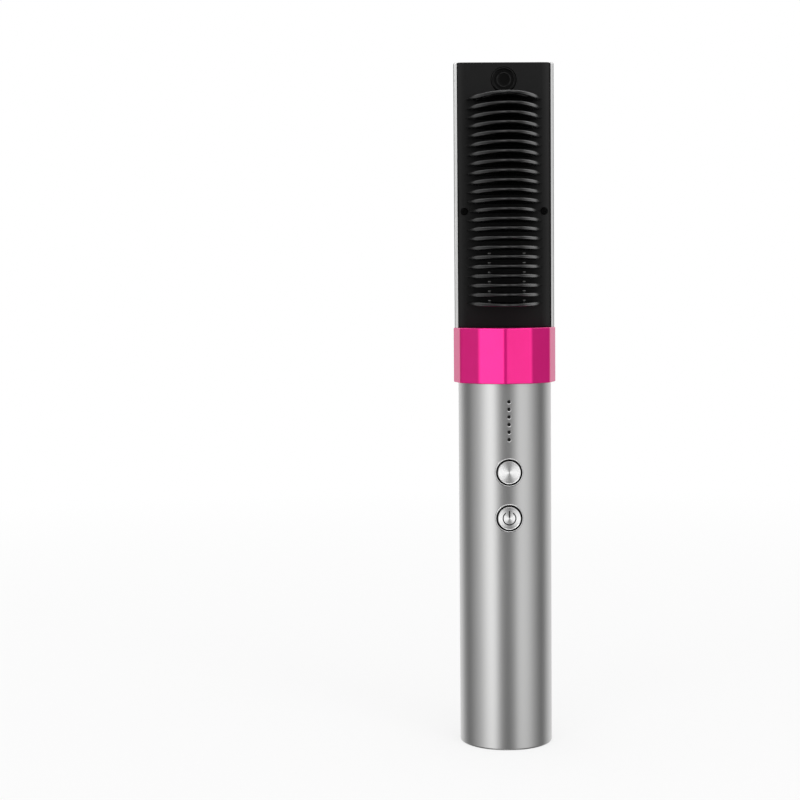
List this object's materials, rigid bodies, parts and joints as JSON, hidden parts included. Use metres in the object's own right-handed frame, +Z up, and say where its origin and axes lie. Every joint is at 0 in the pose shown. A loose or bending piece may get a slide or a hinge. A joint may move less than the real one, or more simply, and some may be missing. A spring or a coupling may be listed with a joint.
{
  "type": "hot comb",
  "caption": "Cordless hot comb: round metal handle with push buttons and indicator dots, twelve-sided collar, and a flat-fronted head with rows of guard arches over heated fins.",
  "frame": {"origin": "centre of the handle's foot, on the handle's axis", "axes": "+Z up the handle to the head, -Y the front with the buttons and comb rows, +X to the right"},
  "size_m": [0.0418, 0.0472, 0.2793],
  "materials": {
    "satin_aluminium": "satin, fine vertical grain",
    "pink_anodised": "gloss anodised hot pink",
    "black_plate": "matte",
    "black_gloss": "glossy",
    "coated_aluminium": "black ceramic coat",
    "spun_metal": "turned in fine circles",
    "bright_rim": "polished",
    "smoked_plastic": "smoked",
    "badge_black": "satin black",
    "black_screw": "blackened",
    "screw_steel": "plated",
    "cap_plastic": "fine spark texture",
    "socket_metal": "plated",
    "board_green": "solder mask",
    "frame_plastic": "moulded",
    "cell_sleeve": "sleeved can",
    "nickel": "strip",
    "lead_sleeve": "silicone",
    "led_white": "moulded",
    "switch_black": "moulded",
    "heat_plastic": "glass filled",
    "ceramic": "fired",
    "mica": "sheet",
    "spring_steel": "rolled"
  },
  "bodies": {
    "root": {"handle_tube": "satin_aluminium", "end_cap": "cap_plastic", "end_cap_screws": "screw_steel", "usb_socket_shell": "socket_metal", "usb_socket_tongue": "switch_black", "usb_board": "board_green", "inner_frame": "frame_plastic", "battery_cell": "cell_sleeve", "battery_tabs": "nickel", "battery_lead": "lead_sleeve", "charge_leads": "lead_sleeve", "main_board": "board_green", "board_screws": "screw_steel", "led_chips": "led_white", "light_pipe": "smoked_plastic", "temperature_bezel": "bright_rim", "temperature_switch": "switch_black", "power_bezel": "bright_rim", "power_switch": "switch_black", "collar_ring": "pink_anodised", "neck_coupler": "heat_plastic", "coupler_screws": "screw_steel", "neck_screw": "screw_steel", "head_shell": "satin_aluminium", "face_plate": "black_plate", "face_screws": "black_screw", "badge_disc": "badge_black", "badge_screw": "black_screw", "guard_arches": "black_gloss", "heat_fins": "coated_aluminium", "heater_base": "coated_aluminium", "ceramic_heater": "ceramic", "heater_insulator": "mica", "heater_clamps": "spring_steel", "clamp_screws": "screw_steel", "thermistor": "mica", "thermal_fuse": "spring_steel", "heat_shield": "heat_plastic", "heater_leads": "lead_sleeve"},
    "temperature_key": {"temperature_button": "spun_metal", "temperature_plunger": "switch_black"},
    "power_key": {"power_button": "spun_metal", "power_plunger": "switch_black"}
  },
  "joints": [
    {"name": "temperature_press", "type": "slide", "parent": "root", "child": "temperature_key", "axis": [0, 1, 0], "range_m": [0, 0.0005], "stiffness_N_per_m": 1500},
    {"name": "power_press", "type": "slide", "parent": "root", "child": "power_key", "axis": [0, 1, 0], "range_m": [0, 0.0005], "stiffness_N_per_m": 1500}
  ]
}
